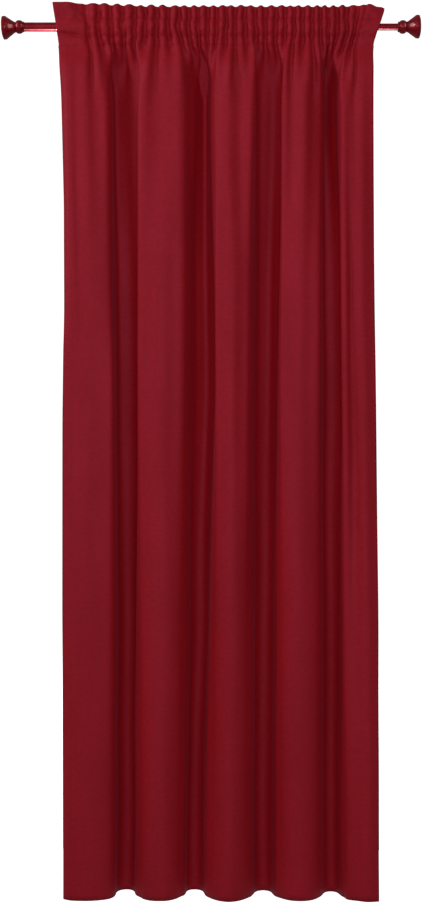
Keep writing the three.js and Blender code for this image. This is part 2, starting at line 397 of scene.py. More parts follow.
def make_tube(node, body):
    low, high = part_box(node)
    radius = (high[2] - low[2]) / 2
    start, end = low[0], high[0]
    outline = [
        (start, radius - tube_wall),
        *arc((start + edge_round, radius - edge_round), (edge_round,) * 2, 180, 90, 4),
        *arc((end - edge_round, radius - edge_round), (edge_round,) * 2, 90, 0, 4),
        (end, radius - tube_wall),
    ]
    finish_piece(f"{node}_lacquered", turn_outline(outline), lacquer, body, [node])
    print(node, "radius", round(radius / MM, 2), "mm, length", round((end - start) / MM), "mm")


make_tube("outer_tube", "rod")
make_tube("inner_tube", "rod_extension")

# %% [markdown]
# The nylon sleeve, bush, spigots and the steel screws keep their CAD shapes, since they are
# hidden until a joint pulls them into sight. They only take on a better finish.

# %% Finishes for the hidden CAD pieces
hidden_finishes = [
    (nylon, ("glide_sleeve", "mouth_bush", "finial_left_spigot", "finial_right_spigot")),
    (zinc, ("finial_left_screw", "finial_right_screw")),
]
for material, nodes in hidden_finishes:
    for node in nodes:
        part = frame["nodes"][node]
        part.data.materials.clear()
        part.data.materials.append(material)
    print(material.name, "on", ", ".join(nodes))

# %% [markdown]
# A finial is four turned pieces stacked on a screw: a thin ring against the tube, a bead, a
# trumpet that widens in a straight cone to a rolled rim, and a domed cap pressed into its mouth.
# Each is described outwards from the end of its tube, and turned the other way round for the
# left-hand end.

# %% The finials
def make_finial(side):
    body = f"finial_{side}"
    outwards = -1.0 if side == "left" else 1.0

    def span(node):
        low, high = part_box(f"{body}_{node}")
        near, far = (high[0], low[0]) if side == "left" else (low[0], high[0])
        return abs(near), abs(far), (high[2] - low[2]) / 2

    def turned_piece(node, outline, tilt=0.0, pivot=0.0):
        name = f"{body}_{node}"
        work = turn_outline(outline, outwards)
        bmesh.ops.rotate(work, verts=work.verts, cent=(outwards * pivot, 0, 0),
                         matrix=Matrix.Rotation(math.radians(tilt), 3, "Y"))
        return finish_piece(f"{name}_turned", work, lacquer, body, [name])

    hole = 2.3 * MM  # for the screw
    near, far, radius = span("ring")
    nose = 0.9 * MM
    turned_piece("ring", [
        (near, hole), *arc((near + nose, radius - nose), (nose, nose), 180, 90, 6),
        *arc((far - nose, radius - nose), (nose, nose), 90, 0, 6), (far, hole),
    ])

    near, far, radius = span("bead")
    neck = 12.5 * MM
    middle, half = (near + far) / 2, (far - near) / 2
    turned_piece("bead", [(near, hole), *arc((middle, neck), (half, radius - neck), 180, 0, 28), (far, hole)])

    lean = -3.0 if side == "left" else -1.2
    near, far, radius = span("trumpet")
    foot = 14.3 * MM
    foot_round = 1.2 * MM
    rim = 9.0 * MM
    lip = 1.6 * MM
    wall = 2.4 * MM
    mouth = radius - wall
    solid_foot = 12 * MM
    turned_piece("trumpet", [
        (near, hole), *arc((near + foot_round, foot - foot_round), (foot_round,) * 2, 180, 110, 4),
        (near + 4 * MM, foot + 1.1 * MM), (far - rim - 1.5 * MM, radius - 1.6 * MM),
        *arc((far - rim + 2 * MM, radius - 1.8 * MM), (3.5 * MM, 1.8 * MM), 150, 90, 5),
        *arc((far - lip, radius - lip), (lip, lip), 90, 0, 6), (far, mouth),
        (far - rim, mouth), (near + solid_foot, foot + 3 * MM), (near + solid_foot, hole),
    ], lean, middle)

    near, far, radius = span("cap")
    seat = far - 4.4 * MM
    turned_piece("cap", [
        (seat - 1.6 * MM, 0.0), (seat - 1.6 * MM, radius),
        *arc((seat, 0.0), (far - seat, radius), 90, 0, 22),
    ], lean, middle)
    print(body, "reaches", round(outwards * far, 4))


make_finial("left")
make_finial("right")

# %% [markdown]
# The panel is one sheet of velvet, 1.34 m wide once its sides are hemmed, gathered to two thirds.
# Cloth hardly stretches, so its shape is found from angles: at each height the sheet turns back
# and forward of straight as it crosses, and adding up small steps along those angles gives a line
# whose length is always the cloth's own width. Narrow pencil pleats fill the heading. Below it
# they run together into five broad fold fronts with four deep recesses between them, which carry
# on to the hem.

# %% Sizes of the sheet
cut_width = 1.400
side_turning = 0.030
flat_width = cut_width - 2 * side_turning
rod_radius = (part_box("outer_tube")[1][2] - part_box("outer_tube")[0][2]) / 2
cloth_low, cloth_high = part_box("panel_cloth")
tape_low, tape_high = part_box("heading_tape")
top_edge, foot_edge = cloth_high[2], cloth_low[2]
hem_height = 0.100
upper_seam = tape_high[2] - 5 * MM
lower_seam = -rod_radius - 18.5 * MM
tape_foot = tape_low[2]
print("drop", round(top_edge - foot_edge, 3), "seams at", round(upper_seam, 4), round(lower_seam, 4))

# %% [markdown]
# A fold front starts at a sharp crease and ends where the cloth turns back into a recess. These
# places are distances along the flat cloth. The sheet gets more columns there, where it bends most,
# and more rows in the heading.

# %% The grid of rows and columns
front_ends = [0.130, 0.472, 0.774, 1.079]
creases = [0.326, 0.652, 0.952, 1.220]
marks = [0.0] + sorted(front_ends + creases) + [flat_width]


def crowded(start, end, count, places, reach, crowding):
    """count + 1 numbers from start to end that lie closer together within reach of the places."""
    line = np.linspace(start, end, 4001)
    density = 1 + crowding * sum(np.exp(-((line - place) / reach) ** 2) for place in places)
    total = np.concatenate([[0], np.cumsum((density[1:] + density[:-1]) / 2)])
    return np.interp(np.linspace(0, total[-1], count + 1), total, line)


COLUMNS = 340
hand_below, half_way = -0.30, -0.90
hem_top = foot_edge + hem_height
across = crowded(0.0, flat_width, COLUMNS, front_ends + creases, 0.018, 1.1)
heights = np.concatenate([
    np.linspace(top_edge, tape_foot, 40, endpoint=False),
    np.linspace(tape_foot, hand_below, 34, endpoint=False),
    np.linspace(hand_below, half_way, 28, endpoint=False),
    np.linspace(half_way, hem_top, 34, endpoint=False),
    np.linspace(hem_top, foot_edge, 7),
])
ROWS = len(heights)
below = -heights[:, None]
print(ROWS, "rows of", COLUMNS + 1, "columns")


def ease(low, high, value):
    """0 below low, 1 above high and smooth between, for numbers or whole arrays."""
    share = np.clip((value - low) / (high - low), 0.0, 1.0)
    return share * share * (3 - 2 * share)


def blur(line, reach):
    """Averages a line of numbers with a bell-shaped weight. reach is in steps of the line."""
    half = max(1, int(3 * reach))
    weight = np.exp(-0.5 * (np.arange(-half, half + 1) / reach) ** 2)
    return np.convolve(np.pad(line, half, mode="edge"), weight / weight.sum(), mode="valid")


# %% [markdown]
# The lines that the eye follows on a curtain are the two side edges and, on each fold, the crease
# and the place where the front ends. Their places across are given in the heading, a hand below
# it, half way down and at the foot. The creases swing left as they leave the heading and then hang
# nearly plumb. The side edges lean out over the rod, because the ends of the heading are stiff.

# %% Where the edges and fold lines hang
left_line = [(top_edge, 0.036), (0.012, 0.0455), (-0.014, 0.0475), (-0.056, 0.055), (-0.20, 0.0625),
             (-0.50, 0.070), (-0.80, 0.0715), (-1.10, 0.068), (foot_edge, 0.068)]
right_line = [(top_edge, 0.966), (0.030, 0.960), (-0.014, 0.944), (-0.036, 0.935), (-0.065, 0.929),
              (-0.20, 0.928), (-0.80, 0.932), (-1.60, 0.941), (foot_edge, 0.944)]
fold_levels = [-0.02, -0.09, -0.20, -1.00, foot_edge]
fold_lines = [
    (0.158, 0.174, 0.184, 0.203, 0.192), (0.292, 0.282, 0.275, 0.274, 0.282),
    (0.386, 0.403, 0.409, 0.407, 0.392), (0.502, 0.492, 0.485, 0.493, 0.477),
    (0.580, 0.593, 0.597, 0.585, 0.578), (0.697, 0.686, 0.678, 0.669, 0.672),
    (0.777, 0.784, 0.787, 0.783, 0.778), (0.862, 0.843, 0.834, 0.844, 0.852),
]


def hang(levels, places):
    """A line's place across at every row, with its corners rounded."""
    even = np.linspace(foot_edge, top_edge, 501)
    smooth = blur(np.interp(even, levels[::-1], places[::-1]), 4)
    return np.interp(heights, even, smooth)


hung = [hang(*zip(*left_line))]
hung += [hang(fold_levels, places) for places in fold_lines]
hung += [hang(*zip(*right_line))]
hung = np.array(hung).T
print("width at the foot", round(float(hung[-1, -1] - hung[-1, 0]), 3))

# %% [markdown]
# The pencil pleats are uneven, as pulled-up cords leave them: a little wider at the left. Each
# number is one pleat's share of the heading. Between the stiff flaps at the two ends, the cloth
# turns back and forward once for every pleat. A slow noise makes the ribs wander.

# %% Pencil pleats
SAMPLES = 1340
sample = (np.arange(SAMPLES) + 0.5) * flat_width / SAMPLES
step = flat_width / SAMPLES
left_flap, right_flap = 0.074, 0.046
flap_start = flat_width - right_flap
flap_blend = 0.008
pleat_widths = [9, 12.5, 11, 12, 11, 10, 12, 12, 10, 10, 10, 9, 10, 9, 9, 11, 10, 10, 11, 8, 9, 10, 9, 9,
                8, 11, 11, 9, 4]


def soft_noise(scale_across, scale_down, seed, columns=sample):
    """Smooth seeded noise over the sheet, about -1 to 1, with features of the given sizes in metres."""
    coarse_rows = np.unique(np.linspace(0, ROWS - 1, 100).astype(int))
    coarse_columns = np.linspace(0, flat_width, 261)
    grid = np.array([[noise.noise(Vector((c / scale_across, heights[r] / scale_down, seed)))
                      for c in coarse_columns] for r in coarse_rows])
    wide = np.array([np.interp(columns, coarse_columns, line) for line in grid])
    rows = np.arange(ROWS)
    return np.array([np.interp(rows, coarse_rows, line) for line in wide.T]).T


pleat_edges = np.cumsum([0] + pleat_widths) / sum(pleat_widths)
pleated_width = flat_width - left_flap - right_flap
pleat_places = left_flap + pleated_width * pleat_edges
pleat_count = len(pleat_widths)
tenths = np.arange(0, pleat_count + 0.01, 0.1)
smooth_places = np.interp(tenths, np.arange(pleat_count + 1), pleat_places)
pleat = np.interp(sample, blur(smooth_places, 4), tenths)
inside = ease(left_flap - flap_blend, left_flap + flap_blend, sample)
inside = inside * (1 - ease(flap_start - flap_blend, flap_start + flap_blend, sample))
wander = 0.16 * soft_noise(0.035, 0.030, 5.2) * (1 - ease(0.03, 0.12, below))
rib = np.sin(math.tau * (pleat[None, :] + wander)) * inside[None, :]
print(pleat_count, "pleats of", round(pleated_width / pleat_count / MM, 1), "mm of cloth")

# %% [markdown]
# Each pleat fades at its own height below the seams. Neighbours run together in pairs first, so a
# wave twice as long takes over from them for a while.

# %% Pleats that fade and pair up
fade_depths = [0.07, 0.15, 0.05, 0.20, 0.10, 0.06, 0.17, 0.08, 0.12, 0.05, 0.19, 0.07, 0.13]
edge_depths = [fade_depths[edge % len(fade_depths)] for edge in range(pleat_count + 1)]
depth_of = np.interp(pleat, np.arange(pleat_count + 1), edge_depths)
segment = np.searchsorted(marks, sample) - 1
in_recess = segment % 2 == 1
depth_of = depth_of * np.where(in_recess, 0.5, 1.0)
narrow_share = 1 - ease(0.035, 0.12 + depth_of[None, :], below)
pair = np.sin(math.pi * pleat + 0.8)[None, :] * inside[None, :]
pair_share = ease(0.03, 0.12, below) * (1 - ease(0.22, 0.75, below))
print("single pleats are gone by", round(0.12 + float(depth_of.max()), 2), "m below the rod")

# %% [markdown]
# A recess is deepest on its left: the cloth turns straight back from the end of a front, comes
# slowly forward along the floor of the recess, and doubles under the crease of the next front,
# which overhangs it. Towards the foot the weight of the cloth opens this out into a round wave. A
# front is a shallow dome with a faint ridge or two.

# %% The shape of fronts and recesses, as angles
starts, ends = np.array(marks[:-1])[segment], np.array(marks[1:])[segment]
share = (sample - starts) / (ends - starts)

floor_start, floor_end = 0.38, 0.76
hollow = np.select([share < floor_start, share < floor_end], [1.0, -0.30], -1.30)
floor_ridge = np.sin(math.tau * (share - floor_start) / 0.36) * ((share > floor_start) & (share < 0.74))
floor_ridge = floor_ridge * np.array([0.0, 0.3, 0.0, 0.9, 0.0, 0.7, 0.0, 0.3, 0.0])[segment]
round_wave = 1.05 * np.sin(math.tau * share)
dome = -0.35 * np.cos(math.pi * share)
flat_front = np.interp(share, [0, 0.06, 0.16, 0.5, 0.84, 0.95, 1], [-1.1, -0.6, -0.12, 0.0, 0.10, 0.5, 0.9])
flat_front = flat_front + 0.13 * np.sin(math.tau * 2 * share)
first_front = np.interp(share, [0, 0.14, 0.27, 0.42, 0.6, 1], [-0.9, -0.6, 0.5, -0.3, 0.0, 0.25])
last_front = np.interp(share, [0, 0.15, 0.32, 0.46, 0.6, 0.85, 1], [-0.5, -0.3, 0.5, -0.45, -0.1, 0.2, 0])

opened = ease(0.80, 2.30, below)
recess_angle = (hollow + floor_ridge)[None, :] * (1 - opened) + round_wave[None, :] * opened
front_angle = flat_front[None, :] * (1 - opened) + dome[None, :] * opened
front_angle = np.where(segment[None, :] == 0, first_front[None, :], front_angle)
front_angle = np.where(segment[None, :] == 8, last_front[None, :], front_angle)
fold = np.where(in_recess[None, :], recess_angle, front_angle)
crease_reach = 6 + 16 * opened[:, 0] + 8 * (1 - ease(0.05, 0.20, below[:, 0]))
fold = np.array([blur(line, reach) for line, reach in zip(fold, crease_reach)])
fold_share = np.where(in_recess[None, :], ease(0.010, 0.14, below), ease(0.020, 0.28, below))
fold_share = np.array([blur(line, 6) for line in fold_share])

pair_angle, fold_angle = 0.42, 1.15
angle = narrow_share * rib + pair_angle * pair_share * pair + fold_angle * fold_share * fold
angle = angle + 0.10 * soft_noise(0.060, 0.40, 3.1) * ease(0.03, 0.12, below)
angle = angle + 0.05 * soft_noise(0.022, 0.16, 7.7) * (1 - ease(0.25, 0.8, below))
print("steepest wanted angle", round(math.degrees(float(np.abs(angle).max()))), "degrees")

# %% [markdown]
# Now the angles become a shape. Between one fold line and the next, all angles at one height are
# scaled by a single number, found by halving an interval, until that stretch of cloth is exactly
# as wide as the gap that it hangs in.

# %% Scale the angles to the cloth's width
seams = [upper_seam, lower_seam, tape_foot + 2.5 * MM]
seam_reach = 5 * MM
pinch = sum(np.exp(-((heights - seam) / seam_reach) ** 2) for seam in seams)[:, None]
angle = angle + 0.28 * pinch * soft_noise(0.012, 0.012, 9.4) * inside[None, :]

first_sample = np.searchsorted(sample, marks[:-1])
wanted = np.diff(hung, axis=1)
small, large = np.full(wanted.shape, 0.02), np.full(wanted.shape, 4.0)
for halving in range(40):
    guess = (small + large) / 2
    advance = np.cos(np.clip(angle * guess[:, segment], -2.6, 2.6))
    width = np.add.reduceat(advance, first_sample, axis=1) * step
    small = np.where(width > wanted, guess, small)
    large = np.where(width > wanted, large, guess)
gain = (small + large) / 2
print("angle gains from", round(float(gain.min()), 2), "to", round(float(gain.max()), 2))

# %% [markdown]
# The scaled angles are smoothed and added up into a line at each height. What each fold line still
# misses its place by is spread evenly between it and the next. Front to back, the slow drift that
# adding up leaves is taken out, so that the fronts line up and the recesses lie behind them.

# %% From angles to the folded sheet
smooth_gain = np.array([blur(line, 5) for line in gain[:, segment]])
turned = np.array([blur(line, 3) for line in np.clip(angle * smooth_gain, -2.3, 2.3)])
sample_edges = np.arange(SAMPLES + 1) * step
line_x, line_y = np.zeros((2, ROWS, SAMPLES + 1))
line_x[:, 1:] = np.cumsum(np.cos(turned), axis=1) * step
line_y[:, 1:] = np.cumsum(np.sin(turned), axis=1) * step

front_middles = (np.array(marks[0::2]) + np.array(marks[1::2])) / 2
recess_middles = (np.array(marks[1:-1:2]) + np.array(marks[2:-1:2])) / 2
front_levels = np.array([0.0, 3.0, -4.0, 2.0, -2.0]) * MM
opening = ease(0.02, 0.4, below[:, 0])
in_heading = 1 - ease(0.020, 0.130, below[:, 0])
sheet_x, sheet_y = np.zeros((2, ROWS, COLUMNS + 1))
broad, heading_broad = 22, 38
for row in range(ROWS):
    miss = hung[row] - np.interp(marks, sample_edges, line_x[row])
    sheet_x[row] = np.interp(across, sample_edges, line_x[row] + np.interp(sample_edges, marks, miss))
    level = blur(line_y[row], broad)
    fronts = np.interp(front_middles, sample_edges, level)
    line_y[row] -= np.interp(sample_edges, front_middles, fronts)
    level = blur(line_y[row], broad)
    depth = np.interp(recess_middles, sample_edges, level).mean()
    line_y[row] += np.interp(sample_edges, front_middles, front_levels * opening[row]) - depth / 2
    line_y[row] -= in_heading[row] * blur(line_y[row], heading_broad)
    sheet_y[row] = np.interp(across, sample_edges, line_y[row])
print("folds reach from", round(float(sheet_y.min()), 3), "to", round(float(sheet_y.max()), 3))

# %% [markdown]
# At the heading the sheet and the tape behind it part to let the rod through. The sheet passes
# close in front of the rod and leans on it, so it swells only a little between the seams, and the
# tape takes the long way round behind. At each seam the thread pulls the cloth in a little,
# unevenly, which puckers it.

# %% The rod pocket and its seams
at_rod = np.abs(heights) < rod_radius
half_pleat = float(np.percentile(np.abs(sheet_y[at_rod]), 96))
rod_ease = 1.0 * MM
seam_lean = 13 * MM
pocket = np.clip((upper_seam - heights) / (upper_seam - lower_seam), 0, 1)
swell = np.sin(math.pi * pocket)
swell = np.interp(heights, heights[::-1], blur(swell, 1.5)[::-1])[:, None]
lean = seam_lean * (1 - ease(-lower_seam, 0.16, below))
forward = lean + (rod_radius + rod_ease + half_pleat - seam_lean) * swell
backward = -lean + (rod_radius + rod_ease + half_pleat + seam_lean) * swell
pucker = 1.0 + 0.5 * soft_noise(0.020, 0.05, 15.0, across)
dimple = 1.4 * MM * pinch * pucker
crumple = 2.3 * MM * soft_noise(0.016, 0.016, 12.5, across) * (1 - ease(0.030, 0.085, below))
crumple = crumple + 0.7 * MM * soft_noise(0.030, 0.030, 21.5, across) * (1 - ease(0.05, 0.22, below))
print("pleats are", round(half_pleat * 2 / MM, 1), "mm deep")

# %% [markdown]
# Above the upper seam the cloth stands free as a frill. It rises a little at both ends, and every
# pleat lifts it in a small crest. The stiff flaps at the ends have no pleats: the left one has a
# tuck below its corner and leans towards the room, and the right one stands up where it leaves the
# last pleat and then dips. The foot is drawn up by a centimetre.

# %% The frill, the flaps and the foot
frill = ease(upper_seam, top_edge, heights)[:, None]
frill_rise = 7 * MM * (1 - ease(0.05, 0.42, across)) + 3 * MM * ease(1.15, 1.35, across) - 3 * MM
foot_rise = 11 * MM * ease(-2.0, foot_edge, heights)[:, None]
sheet_z = heights[:, None] + frill * frill_rise[None, :] + foot_rise
crest = np.array([np.interp(across, sample, line) for line in rib])
sheet_z = sheet_z + frill * (1.2 * MM * crest + 1.6 * MM * soft_noise(0.026, 0.05, 31.0, across))
on_left = 1 - ease(0.040, left_flap + 0.004, across)[None, :]
on_right = ease(flap_start, flat_width, across)[None, :]
tuck_height, tuck_slope, tuck_reach = -0.026, -0.16, 5.5 * MM
tuck_line = (heights[:, None] - tuck_height - tuck_slope * (across[None, :] - 0.02)) / tuck_reach
tuck = 11 * MM * tuck_line * np.exp(-tuck_line ** 2) * on_left * ease(0.004, 0.024, across)[None, :]
corner = -13 * MM * ease(0.0, 0.057, heights)[:, None] * on_left
corner = corner + 7 * MM * frill * on_right
flap_bump = 4 * MM * np.exp(-((across - flap_start + 0.002) / 0.014) ** 2)
flap_drop = 3.5 * MM * ease(flap_start + 0.006, flap_start + 0.024, across) - flap_bump
sheet_z = sheet_z - frill * flap_drop[None, :]
sheet_z = sheet_z - 4 * MM * frill * ease(flat_width - 0.014, flat_width, across)[None, :] ** 2
crumple = crumple + tuck + corner
print("frill's top from", round(float(sheet_z[0].min()), 4), "to", round(float(sheet_z[0].max()), 4))

# %% [markdown]
# Cloth can't enter the rod. In front, it rests on the tube's round face near its middle, and above
# and below that it leaves along a straight slope, as pulled cloth does: the slope touches the
# circle at 20 degrees. Behind, the tape's side keeps to the circle itself.

# %% Keep the cloth clear of the rod
clear = rod_radius + rod_ease
touch_height, touch_depth, shed_slope = 0.342 * clear, 0.940 * clear, 0.364
from_middle = np.abs(heights)
rod_room = np.where(at_rod, np.sqrt(np.clip(clear ** 2 - heights ** 2, 0, None)), -1.0)[:, None]
shed = (touch_depth - shed_slope * (from_middle - touch_height))[:, None]
front_room = np.where(from_middle[:, None] < touch_height, rod_room, shed)
front_y = np.minimum(sheet_y - forward + dimple + crumple, -front_room)
behind_y = np.maximum(sheet_y + backward + dimple, rod_room)
front = np.stack([sheet_x, front_y, sheet_z], axis=2)
behind_rod = np.stack([sheet_x, behind_y, sheet_z], axis=2)


def face_normals(surface):
    """The direction out of the room side of each grid point."""
    down = np.gradient(surface, axis=0)
    over = np.gradient(surface, axis=1)
    normal = np.cross(down, over)
    return normal / np.linalg.norm(normal, axis=2, keepdims=True)


front_normal = face_normals(front)
print("the cloth passes", round(clear / MM, 1), "mm from the rod's axis")

# %% [markdown]
# A layer of cloth is a grid laid on points of that surface. Solidify then gives it the cloth's
# thickness, with the woven ground as the second material on the side away from the room. The UV
# map is the flat cloth in metres.

# %% A layer of cloth from a grid of points
cloth_thickness = 1.0 * MM


def cloth_layer(name, points, flat_u, flat_v, thickness, materials, body, replaces):
    """points is rows by columns of places; flat_u and flat_v are the columns' and rows' flat distances."""
    row_count, column_count = points.shape[:2]
    work = bmesh.new()
    bmesh.ops.create_grid(work, x_segments=column_count - 1, y_segments=row_count - 1, size=1.0)
    assert len(work.verts) == row_count * column_count
    work.verts.ensure_lookup_table()
    flat = points.reshape(-1, 3)
    for vertex in work.verts:
        vertex.co = flat[vertex.index]
    bmesh.ops.reverse_faces(work, faces=work.faces)
    layer = work.loops.layers.uv.new("flat")
    for face in work.faces:
        for loop in face.loops:
            row, column = divmod(loop.vert.index, column_count)
            loop[layer].uv = (float(flat_u[column]), float(flat_v[row]))
    piece = finish_piece(name, work, materials[0], body, replaces)
    for extra in materials[1:]:
        piece.data.materials.append(extra)
    solid = piece.modifiers.new("thickness", "SOLIDIFY")
    solid.thickness = thickness
    solid.offset = 0.0
    solid.use_even_offset = False
    solid.material_offset = len(materials) - 1
    return piece


down_flat = -heights + top_edge
panel = cloth_layer("velvet_panel", front, across, down_flat, cloth_thickness,
                    [velvet, velvet_back], "panel", ["panel_cloth"])
print("panel points", len(panel.data.vertices))

# %% [markdown]
# Edges that are turned over roll round a small radius and then lie against the back. One function
# does the top turning, the side hems and the foot hem: it starts at an edge, rolls over it in a
# half circle, and runs back in along the sheet.

# %% Turned edges
def turned_edge(name, inwards, normals, flat_along, thickness, body, node, lay_back=0.2 * MM):
    """inwards is a strip of the sheet, edge first; the layer rolls over the edge and lies behind it."""
    offset = cloth_thickness / 2 + lay_back + thickness / 2
    radius = offset / 2
    outwards = inwards[0] - inwards[1]
    outwards = outwards / np.linalg.norm(outwards, axis=1, keepdims=True)
    rolled = []
    roll_start = 0.12 * math.pi
    for turn in np.linspace(roll_start, math.pi, 6):
        lift = outwards * radius * math.sin(turn)
        rolled.append(inwards[0] + lift - normals[0] * radius * (1 - math.cos(turn)))
    layer = np.concatenate([np.array(rolled), inwards[1:] - normals[1:] * offset])
    run = np.concatenate([[0], np.cumsum(np.linalg.norm(np.diff(layer, axis=0), axis=2).mean(axis=1))])
    return cloth_layer(name, layer, flat_along, run, thickness, [velvet], body, [node])


def rows_to(height):
    return int(np.abs(heights - height).argmin())


turning_foot = rows_to(upper_seam - 3 * MM)
hem_row = rows_to(hem_top)
side_top = rows_to(tape_foot)
side_columns = 6

heading_turning = turned_edge("heading_turning_velvet", front[:turning_foot], front_normal[:turning_foot],
                              across, 0.8 * MM, "panel", "heading_turning")
foot_hem = turned_edge("foot_hem_velvet", front[:hem_row - 1:-1], front_normal[:hem_row - 1:-1],
                       across, 1.6 * MM, "panel", "bottom_hem", 0.3 * MM)
side_rows = slice(side_top, hem_row)


def side_strips(columns):
    """The sheet and its normals along a side, with the edge column first."""
    return [grid[side_rows, columns].transpose(1, 0, 2) for grid in (front, front_normal)]


left_strip, left_strip_normal = side_strips(slice(None, side_columns))
right_strip, right_strip_normal = side_strips(slice(None, -side_columns - 1, -1))
left_hem = turned_edge("side_hem_left_velvet", left_strip, left_strip_normal,
                       down_flat[side_rows], 1.4 * MM, "panel", "side_hem_left")
right_hem = turned_edge("side_hem_right_velvet", right_strip, right_strip_normal,
                        down_flat[side_rows], 1.4 * MM, "leading_edge", "side_hem_right")
print("the heading is turned over", turning_foot, "rows, and the foot hem", ROWS - hem_row)

# %% [markdown]
# The heading tape is woven, stiffer and matt. It follows the same pleats behind the rod, so the
# rod runs between it and the velvet.

# %% The heading tape
tape_rows = slice(rows_to(upper_seam + 5 * MM), side_top + 1)
tape_offset = 2.4 * MM
tape_normal = face_normals(behind_rod)
tape_surface = behind_rod - tape_normal * tape_offset
tape = cloth_layer("heading_tape_woven", tape_surface[tape_rows], across, down_flat[tape_rows], 0.6 * MM,
                   [tape_weave], "panel", ["heading_tape"])
print("tape points", len(tape.data.vertices))

# %% [markdown]
# Three draw cords hold the tape gathered. Each is a round braid: rings of points are carried along
# the cord and joined, and each end has a knot. The tape holds each cord down with small woven
# loops, so the cord can slide when the tape is pulled up.

# %% A round cord along a route
cord_radius = 1.0 * MM


def sweep_into(work, route, radius, sides=12, reference=(0, 0, 1.0)):
    """Adds a round cord along a route of points, with its UV in metres along and turns around."""
    route = np.array(route)
    layer = work.loops.layers.uv.verify()
    tangents = np.gradient(route, axis=0)
    tangents /= np.linalg.norm(tangents, axis=1, keepdims=True)
    run = np.concatenate([[0], np.cumsum(np.linalg.norm(np.diff(route, axis=0), axis=1))])
    rings = []
    for place, tangent in zip(route, tangents):
        side = np.cross(tangent, reference)
        side /= np.linalg.norm(side)
        up = np.cross(side, tangent)
        turns = np.arange(sides) * math.tau / sides
        ring = [work.verts.new(place + radius * (math.cos(t) * side + math.sin(t) * up)) for t in turns]
        rings.append(ring)
    for index, (first, second) in enumerate(zip(rings, rings[1:])):
        for k in range(sides):
            after = (k + 1) % sides
            face = work.faces.new((first[k], first[after], second[after], second[k]))
            spots = ((run[index], k), (run[index], k + 1), (run[index + 1], k + 1), (run[index + 1], k))
            for loop, (far, turn) in zip(face.loops, spots):
                loop[layer].uv = (far, turn / sides)
    work.faces.new(reversed(rings[0]))
    work.faces.new(rings[-1])


def swept_cord(node, ending, route, body):
    work = bmesh.new()
    sweep_into(work, route, cord_radius)
    bmesh.ops.recalc_face_normals(work, faces=work.faces)
    finish_piece(f"{node}_{ending}", work, cord_braid, body, [node])


print("cords are", 2 * cord_radius / MM, "mm thick")

# %% [markdown]
# Each cord lies just behind the tape's hindmost ribs. A loop goes over it on every rib that comes
# near enough. A knot is drawn as a trefoil, the simplest closed curve that is really knotted.

# %% Draw cords, their loops and their knots
cord_gap = 1.2 * MM
loop_radius, loop_foot, loop_thickness, longest_loop = 1.75 * MM, 1.9 * MM, 0.45 * MM, 9 * MM
knot_inset = 14 * MM
pleat_columns = np.searchsorted(across, pleat_places)
half_turn = np.linspace(0, math.pi, 9)
full_turn = np.linspace(0, math.tau, 61)[:-1]
tape_loops = bmesh.new()
for label in ("upper", "middle", "lower"):
    low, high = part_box(f"draw_cord_{label}")
    level = (low[2] + high[2]) / 2
    tape_line = tape_surface[rows_to(level)]
    depth = float(tape_line[:, 1].max()) + cord_gap
    route = [(x, depth + 0.15 * MM * math.sin(210 * x), level + 0.2 * MM * math.sin(170 * x))
             for x in np.linspace(float(tape_line[0, 0]), float(tape_line[-1, 0]), 160)[2:-2]]
    swept_cord(f"draw_cord_{label}", "braided", route, "panel")
    print(label, "cord", round(sum(math.dist(a, b) for a, b in zip(route, route[1:])), 3), "m long")
    for first, last in zip(pleat_columns, pleat_columns[1:]):
        column = first + int(tape_line[first:last, 1].argmax())
        x, y = (float(value) for value in tape_line[column, :2])
        if depth - y < longest_loop:
            over = [(x, depth + loop_radius * math.sin(turn), level + loop_radius * math.cos(turn))
                    for turn in half_turn]
            route = [(x, y, level + loop_foot), *over, (x, y, level - loop_foot)]
            sweep_into(tape_loops, route, loop_thickness, 6, (1.0, 0, 0))
    for side, body, end, inwards in (("left", "panel", 0, 1), ("right", "leading_edge", -1, -1)):
        low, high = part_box(f"cord_knot_{label}_{side}")
        size = (high[2] - low[2]) / 2
        middle_x = float(tape_line[end, 0]) + inwards * knot_inset
        middle_z = (low[2] + high[2]) / 2
        knot = [(middle_x + 0.42 * size * (math.sin(t) + 2 * math.sin(2 * t)) * 0.55,
                 depth + 0.42 * size * (math.cos(t) - 2 * math.cos(2 * t)) * 0.55,
                 middle_z - 0.50 * size * math.sin(3 * t)) for t in full_turn]
        swept_cord(f"cord_knot_{label}_{side}", "tied", knot, body)

bmesh.ops.recalc_face_normals(tape_loops, faces=tape_loops.faces)
print("faces in the tape's loops", len(tape_loops.faces))
tape_loops = finish_piece("heading_tape_loops", tape_loops, tape_weave, "panel")

# %% [markdown]
# The seams are lockstitch in thread dyed to match. Each stitch is a small grain of twenty faces
# that thins out at both ends, where the thread dives into the cloth. It takes a little height to
# show above the velvet's surface, and less on the flat tape.

